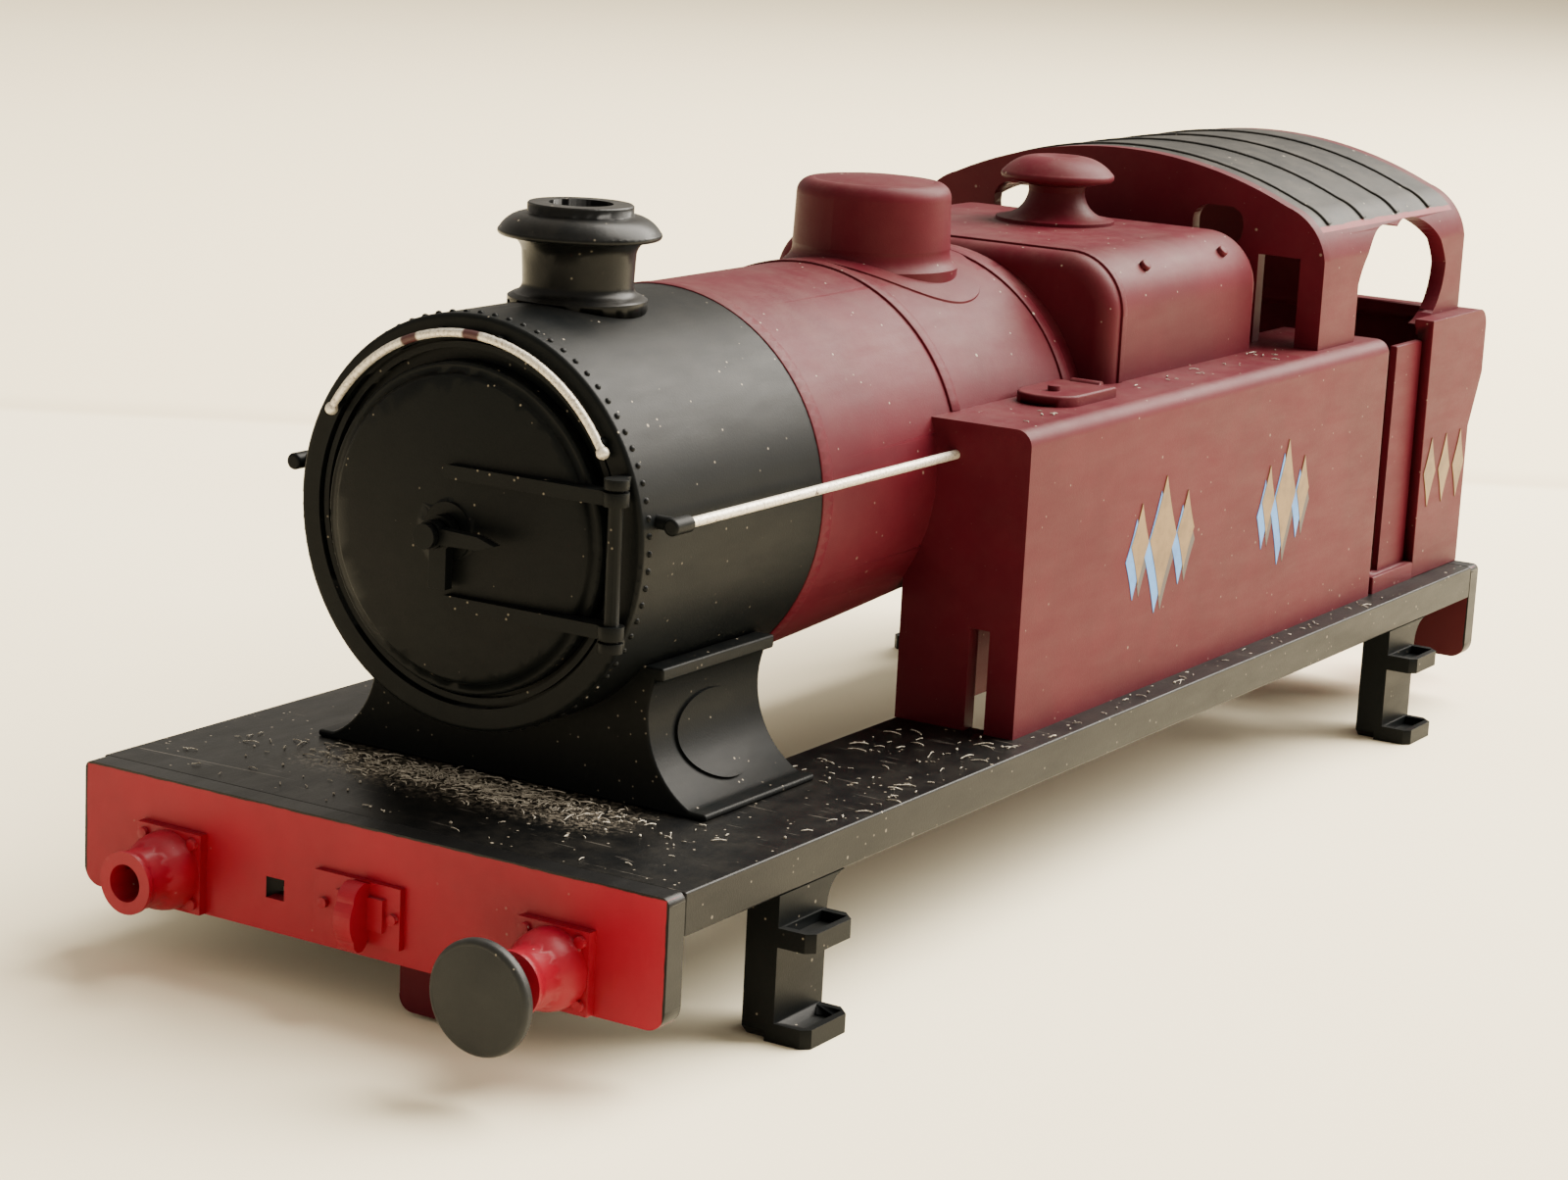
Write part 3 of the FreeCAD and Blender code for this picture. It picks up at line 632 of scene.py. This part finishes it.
@dataclass
class Mouldings:
    """The shell's own pieces, with their free edges softened as a mould leaves them.

    An edge that lies on a neighbouring piece stays sharp, so flush joins don't show a groove.
    """

    nodes: dict[str, bpy.types.Object]
    slots: dict[str, Slot]
    paints: PaintShop
    touch: float = 0.02 * MM
    sharp: float = 32.0
    default_edge: float = 0.1
    edges: dict[str, float] = field(default_factory=lambda: {
        "running_plate": 0.12, "front_buffer_beam": 0.13, "rear_buffer_beam": 0.13, "smokebox_saddle": 0.14,
        "smokebox_front_plate": 0.05, "smokebox_door": 0.05, "door_hinge_post": 0.06,
        "dart_spindle": 0.06, "chimney": 0.05, "cab_front_sheet": 0.16, "cab_rear_sheet": 0.16,
        "bunker": 0.15,
        "left_side_tank": 0.14, "right_side_tank": 0.14, "firebox": 0.08, "firebox_band": 0.05,
        "front_left_buffer_housing": 0.07, "front_right_buffer_housing": 0.07,
        "rear_left_buffer_housing": 0.07, "rear_right_buffer_housing": 0.07,
        "boiler_band_1": 0.05, "boiler_band_2": 0.05, "boiler_band_3": 0.05})
    plain: tuple[str, ...] = ("smokebox", "saddle_covers", "arc_handrail", "arc_handrail_pegs",
                              "left_handrail", "right_handrail",
                              "handrail_stanchions", "safety_valve_base", "safety_valve_cap", "dome",
                              "front_left_buffer_head", "rear_left_buffer_head", "rear_right_buffer_head")
    special: dict[str, object] = field(default_factory=lambda: {
        "running_plate": DECK, "front_buffer_beam": BEAM, "rear_buffer_beam": BEAM, "cab_roof": ROOF,
        "roof_ribs": ROOF,
        "chimney": CHIMNEY})

    def build(self) -> None:
        """Makes and dresses every piece."""
        tree, owners = self.neighbourhood()
        for name, node in self.nodes.items():
            finish = self.finish(name)
            if name in self.plain:
                self.dress(node, self.paints.coats(finish))
                continue
            copy = Bench.own_copy(node, name + "_moulding")
            self.merge(copy)
            self.soften(copy, name, self.edges.get(name, self.default_edge), tree, owners)
            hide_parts(name)
            Bench.hand_over(copy, node["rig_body"], self.slots[name], *self.paints.coats(finish))

    def finish(self, name: str) -> object:
        """The finish of one piece."""
        if name in self.special:
            return self.special[name]
        if name == "arc_handrail":
            spots = tuple((42.05, 9.2 * math.cos(a), 22.6 + 9.2 * math.sin(a))
                          for a in map(math.radians, (88, 111)))
            return SilverPaint("arc_rail_silver", spots, chips=0.1)
        return {Slot.MAROON: MAROON, Slot.BLACK: BLACK, Slot.RED: RED, Slot.HEAD: HEAD,
                Slot.SILVER: SILVER}[self.slots[name]]

    def dress(self, node: bpy.types.Object, materials: Sequence[bpy.types.Material]) -> None:
        """Gives a carried-over piece its material."""
        node.data.materials.clear()
        node.data.materials.append(materials[0])
        LOG.info("%s: carried over", node.name)

    def neighbourhood(self) -> tuple[BVHTree, list[str]]:
        """One search tree over every piece, and the piece of each of its faces."""
        points, faces, owners = [], [], []
        for name, node in self.nodes.items():
            base = len(points)
            points += [v.co.copy() for v in node.data.vertices]
            faces += [[base + i for i in p.vertices] for p in node.data.polygons]
            owners += [name] * len(node.data.polygons)
        return BVHTree.FromPolygons(points, faces), owners

    def merge(self, obj: bpy.types.Object) -> None:
        """Joins the loose triangles and clears the lines across flat faces."""
        with Bench.editing(obj, "VERT"):
            bpy.ops.mesh.select_all(action="SELECT")
            bpy.ops.mesh.remove_doubles(threshold=1.5e-6)
            bpy.ops.mesh.dissolve_limited(angle_limit=math.radians(0.3))
            bpy.ops.mesh.select_all(action="DESELECT")

    def soften(self, obj: bpy.types.Object, name: str, width: float, tree: BVHTree,
               owners: list[str]) -> None:
        """Bevels the free convex edges.

        Args:
            obj: The merged copy.
            name: The piece it copies.
            width: Bevel in millimetres.
            tree: The search tree.
            owners: The piece of each face in it.
        """
        mesh = obj.data
        sides: dict[tuple[int, int], list[bpy.types.MeshPolygon]] = {}
        for face in mesh.polygons:
            for key in face.edge_keys:
                sides.setdefault(key, []).append(face)
        chosen = 0
        for edge in mesh.edges:
            faces = sides.get(tuple(sorted(edge.vertices)), [])
            edge.select = False
            if len(faces) != 2 or faces[0].normal.angle(faces[1].normal, 0) < math.radians(self.sharp):
                continue
            middle = (mesh.vertices[edge.vertices[0]].co + mesh.vertices[edge.vertices[1]].co) / 2
            if (faces[1].center - middle).dot(faces[0].normal) > 0:
                continue
            if all(owners[hit[2]] == name for hit in tree.find_nearest_range(middle, self.touch)):
                edge.select = True
                chosen += 1
        if chosen:
            with Bench.editing(obj, "EDGE"):
                bpy.ops.mesh.bevel(offset=width * MM, segments=2, profile=0.5, affect="EDGES",
                                   clamp_overlap=True, material=1)
        Bench.smooth(obj, 48)
        Bench.modified(obj, "WEIGHTED_NORMAL", keep_sharp=True, weight=60)
        LOG.info("%s: %d edges softened", name, chosen)


# ---------------------------------------------------------------- added detail


@dataclass
class RivetRing:
    """Small round-headed rivets round the smokebox's front edge."""

    paints: PaintShop
    boiler_z: float = 22.6
    radius: float = 10.1
    x: float = 41.0
    count: int = 76
    head: float = 0.17

    def build(self) -> None:
        """Models one rivet and copies it round the ring."""
        bpy.ops.object.select_all(action="DESELECT")
        top = self.boiler_z + self.radius
        bpy.ops.mesh.primitive_uv_sphere_add(segments=10, ring_count=8, radius=self.head * MM,
                                             location=(self.x * MM, 0, (top - 0.02) * MM))
        rivet = Bench.settle(bpy.context.active_object)
        with Bench.editing(rivet, "FACE"):
            bpy.ops.mesh.select_all(action="SELECT")
            bpy.ops.mesh.bisect(plane_co=(0, 0, (top - 0.06) * MM), plane_no=(0, 0, 1),
                                clear_inner=True, use_fill=True)
        rivet.data.transform(Matrix.Translation((0, 0, top * MM)) @ Matrix.Scale(0.8, 4, (0, 0, 1))
                             @ Matrix.Translation((0, 0, -top * MM)))
        axis = Matrix.Translation((0, 0, self.boiler_z * MM))
        ring = [rivet]
        for number in range(1, self.count):
            angle = 2 * math.pi * number / self.count
            copy = Bench.own_copy(rivet, f"rivet_{number}")
            copy.data.transform(axis @ Matrix.Rotation(angle, 4, "X") @ axis.inverted())
            ring.append(copy)
        whole = Bench.smooth(Bench.outward(Bench.joined(ring, "smokebox_rivets")), 60)
        Bench.hand_over(whole, "body_shell", Slot.BLACK,
                        self.paints.coat(replace(BLACK, name="rivet_black", rubbed=0.24, specks=0.2)))


class Hand(Enum):
    """The side of the locomotive."""

    LEFT = 1
    RIGHT = -1


@dataclass
class Ornament:
    """Lozenges printed in gold with a pale blue side and a dark shadow."""

    paints: PaintShop
    name: str
    hand: Hand
    centre_x: float
    centre_z: float
    face_y: float
    lozenges: tuple[tuple[float, float, float], ...]
    shaded: bool = True
    gold: TransferFilm = GOLD_FILM
    blue: TransferFilm = BLUE_FILM
    dark: TransferFilm = SHADOW_FILM

    def build(self) -> None:
        """Makes the layers, from the shadow up to the gold."""
        layers = [("gold", self.gold, 0.0, 0.0, 0.05)]
        if self.shaded:
            layers = [("shadow", self.dark, -0.25, -0.75, 0.015),
                      ("blue", self.blue, 0.55, -0.8, 0.03), *layers]
        for label, film, dx, dz, lift in layers:
            pieces = [self.lozenge(x + dx, z + dz, width, height, lift)
                      for x, z, width, height in self.places()]
            whole = Bench.smooth(Bench.joined(pieces, f"{self.name}_{label}"), 30)
            Bench.hand_over(whole, "body_shell", Slot.MAROON, self.paints.coat(film))

    def places(self) -> Iterator[tuple[float, float, float, float]]:
        """The middle, width and height of each lozenge."""
        for offset, width, height in self.lozenges:
            yield self.centre_x + offset, self.centre_z, width, height

    def lozenge(self, x: float, z: float, width: float, height: float, lift: float) -> bpy.types.Object:
        """One lozenge with slightly hollow sides.

        Args:
            x: Middle along the side.
            z: Middle above the ground.
            width: Across.
            height: Up.
            lift: How far it stands off the side.

        Returns:
            The piece.
        """
        bpy.ops.object.select_all(action="DESELECT")
        y = self.hand.value * self.face_y
        bpy.ops.mesh.primitive_circle_add(vertices=4, radius=1.0, fill_type="NGON", location=(0, 0, 0),
                                          rotation=(math.radians(90 * self.hand.value), 0, 0))
        obj = Bench.settle(bpy.context.active_object)
        with Bench.editing(obj, "EDGE"):
            bpy.ops.mesh.select_all(action="SELECT")
            bpy.ops.mesh.subdivide(number_cuts=7)
        for vertex in obj.data.vertices:
            u, v = abs(vertex.co.x), abs(vertex.co.z)
            hollow = 1 - 0.25 * u * v
            vertex.co = Vector((vertex.co.x * hollow * width / 2, 0, vertex.co.z * hollow * height / 2)) * MM
        obj.data.transform(Matrix.Translation((x * MM, y * MM, z * MM)))
        with Bench.editing(obj, "FACE"):
            bpy.ops.mesh.select_all(action="SELECT")
            out = self.hand.value * lift * MM
            bpy.ops.mesh.extrude_region_move(TRANSFORM_OT_translate={"value": (0, out, 0)})
            bpy.ops.mesh.inset(thickness=0.07 * MM, depth=0)
        return Bench.outward(obj)


@dataclass
class LooseLint:
    """Fibres and grit that have settled on the deck and in the corners."""

    paints: PaintShop
    deck_z: float = 9.3
    tank_z: float = 25.8
    seed: int = 7

    def build(self) -> None:
        """Models a few fibres and grains, and scatters copies of them."""
        chance = random.Random(self.seed)
        stock = [self.fibre(chance, length) for length in (0.3, 0.4, 0.5, 0.65, 0.9)] + [self.grain()]
        drifts = {
            "deck_lint": [(720, lambda: (39.9 + chance.gauss(0, 0.95), chance.gauss(-0.3, 4.6), self.deck_z)),
                          (70, self.spread(chance, (38.2, 47), (-15, 14)))],
            "footplate_lint": [(50, self.spread(chance, (14.6, 28), (9.3, 16.4))),
                               (50, self.spread(chance, (-34, 38), (15.9, 16.9))),
                               (40, self.spread(chance, (14.6, 28), (-16.4, -9.3)))],
            "tank_top_lint": [(60, lambda: (chance.uniform(-25, 13.4),
                                            chance.choice((-1, 1)) * chance.uniform(11.6, 14.4),
                                            self.tank_z))],
        }
        for name, groups in drifts.items():
            pieces = [self.dropped(chance, stock, spot()) for count, spot in groups for _ in range(count)]
            pieces = [piece for piece in pieces if piece is not None]
            whole = Bench.smooth(Bench.joined(pieces, name), 80)
            Bench.hand_over(whole, "body_shell", Slot.BLACK, self.paints.coat(Lint()))
        for obj in stock:
            bpy.data.objects.remove(obj)

    def spread(self, chance: random.Random, along: tuple[float, float],
               across: tuple[float, float]) -> Callable[[], Place]:
        """A way to draw places from a patch of the deck.

        Args:
            chance: The source of the draws.
            along: The patch's ends, rear and front.
            across: Its sides, right and left.

        Returns:
            A function that gives the next place.
        """
        return lambda: (chance.uniform(*along), chance.uniform(*across), self.deck_z)

    def fibre(self, chance: random.Random, length: float) -> bpy.types.Object:
        """One curly fibre at the origin.

        Args:
            chance: The source of its curl.
            length: Its length in millimetres.

        Returns:
            The fibre.
        """
        bpy.ops.object.select_all(action="DESELECT")
        bpy.ops.mesh.primitive_cylinder_add(vertices=5, radius=0.03 * MM, depth=length * MM,
                                            location=(0, 0, 0), rotation=(0, math.radians(90), 0))
        obj = Bench.settle(bpy.context.active_object)
        with Bench.editing(obj, "EDGE"):
            bpy.ops.mesh.select_all(action="SELECT")
            for cut in range(1, 7):
                bpy.ops.mesh.select_all(action="SELECT")
                bpy.ops.mesh.bisect(plane_co=((cut / 7 - 0.5) * length * MM, 0, 0), plane_no=(1, 0, 0))
        curl, lift = chance.uniform(0.8, 2.2), chance.uniform(0.5, 1.5)
        for vertex in obj.data.vertices:
            along = vertex.co.x / (length * MM)
            vertex.co.y += math.sin(along * math.pi * curl) * length * 0.22 * MM
            vertex.co.z += (0.03 + math.cos(along * math.pi * lift) * length * 0.08) * MM
        return Bench.outward(obj)

    def grain(self) -> bpy.types.Object:
        """One small rough grain at the origin."""
        bpy.ops.object.select_all(action="DESELECT")
        bpy.ops.mesh.primitive_ico_sphere_add(subdivisions=1, radius=0.075 * MM, location=(0, 0, 0.04 * MM))
        obj = Bench.settle(bpy.context.active_object)
        with Bench.editing(obj, "VERT"):
            bpy.ops.mesh.select_all(action="SELECT")
            bpy.ops.transform.vertex_random(offset=0.02 * MM, seed=3)
        return Bench.outward(obj)

    def dropped(self, chance: random.Random, stock: Sequence[bpy.types.Object],
                place: Place) -> Union[bpy.types.Object, None]:
        """A turned copy of something from the stock, lying at a place.

        Args:
            chance: The source of its turn.
            stock: What to copy.
            place: Where it lies, in millimetres.

        Returns:
            The copy, or None where the place is off the deck or under the saddle.
        """
        x, y, z = place
        on_deck = z < 10
        if on_deck and (x > 47.2 or abs(y) > 16.9 or (28 < x < 38.1 and abs(y) < 12.2)):
            return None
        copy = Bench.own_copy(chance.choice(stock), "bit")
        turn = Matrix.Rotation(chance.uniform(0, 2 * math.pi), 4, "Z")
        turn = turn @ Matrix.Rotation(chance.uniform(-0.2, 0.2), 4, "X")
        copy.data.transform(Matrix.Translation((x * MM, y * MM, (z + 0.02) * MM)) @ turn
                            @ Matrix.Scale(chance.uniform(0.6, 1.15), 4))
        return copy


# ---------------------------------------------------------------- the studio


@dataclass
class Studio:
    """Plain paper floor, soft light and the camera."""

    paints: PaintShop
    eye: Place = (175.32, 99.05, 56.78)
    back: Place = (0.8346, 0.5069, 0.2156)
    right: Place = (-0.5278, 0.8479, 0.0499)
    lens: float = 81.63

    def build(self) -> None:
        """Sets up floor, lights, sky and camera."""
        self.floor()
        self.light("window", (-0.42, 0.24, 0.52), 0.70, 30.0, (1.0, 0.94, 0.84))
        self.light("low_window", (-0.70, 0.40, 0.22), 0.5, 1.0, (1.0, 0.94, 0.84))
        self.sky()
        self.camera()

    def floor(self) -> None:
        """The paper that the model stands on."""
        bpy.ops.object.select_all(action="DESELECT")
        bpy.ops.mesh.primitive_plane_add(size=8.0, location=(0, 0, 0))
        paper = Bench.settle(bpy.context.active_object)
        paper.name = "paper_floor"
        with Bench.editing(paper, "EDGE"):
            bpy.ops.mesh.select_all(action="SELECT")
            bpy.ops.mesh.subdivide(number_cuts=3)
        paper.data.transform(Matrix.Translation((0, 0, -0.00001)))
        paper.data.materials.append(self.paints.coat(Paper()))

    def light(self, name: str, place: Place, size: float, power: float, colour: Colour) -> None:
        """A square soft light that points at the model."""
        lamp = bpy.data.lights.new(name, "AREA")
        lamp.size, lamp.energy, lamp.color = size, power, colour
        obj = bpy.data.objects.new(name, lamp)
        obj.location = place
        obj.rotation_euler = (Vector((0, 0, 0.015)) - Vector(place)).to_track_quat("-Z", "Y").to_euler()
        bpy.context.scene.collection.objects.link(obj)

    def sky(self) -> None:
        """Even warm light from all round."""
        world = bpy.data.worlds.new("studio_air")
        world.use_nodes = True
        background = world.node_tree.nodes["Background"]
        background.inputs["Color"].default_value = (1.0, 0.91, 0.77, 1.0)
        background.inputs["Strength"].default_value = 0.72
        bpy.context.scene.world = world

    def camera(self) -> None:
        """The camera, level with the smokebox and to its left."""
        lens = bpy.data.cameras.new("camera")
        lens.lens, lens.sensor_width = self.lens, 36.0
        lens.clip_start, lens.clip_end = 0.005, 20.0
        back = Vector(self.back).normalized()
        right = (Vector(self.right) - back * back.dot(Vector(self.right))).normalized()
        up = back.cross(right)
        obj = bpy.data.objects.new("camera", lens)
        turn = Matrix((right, up, back)).transposed().to_4x4()
        obj.matrix_world = Matrix.Translation(Vector(self.eye) * MM) @ turn
        bpy.context.scene.collection.objects.link(obj)
        bpy.context.scene.camera = obj


def main() -> None:
    """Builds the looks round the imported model."""
    logging.basicConfig(level=logging.INFO, format="%(message)s")
    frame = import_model()
    bpy.ops.object.select_all(action="DESELECT")
    paints = PaintShop()
    slots = {part["node"]: Slot(part["material_slot"]) for part in frame["record"]["subparts"]}

    Studio(paints).build()
    Mouldings(frame["nodes"], slots, paints).build()
    RivetRing(paints).build()
    broad = ((-2.9, 2.2, 4.6), (0.0, 3.4, 7.0), (2.9, 2.2, 4.6))
    narrow = ((-2.5, 1.8, 4.2), (0.0, 2.9, 6.8), (2.5, 1.8, 4.2))
    small = ((-2.5, 2.0, 4.6), (0.0, 2.0, 4.6), (2.5, 2.0, 4.6))
    for hand in Hand:
        side = hand.name.lower()
        Ornament(paints, f"{side}_front_ornament", hand, -2.6, 17.8, 15.6, broad).build()
        Ornament(paints, f"{side}_rear_ornament", hand, -19.3, 17.9, 15.6, narrow).build()
        Ornament(paints, f"{side}_bunker_ornament", hand, -45.1, 16.2, 15.6, small, shaded=False).build()
    LooseLint(paints).build()


if __name__ == "__main__":
    main()
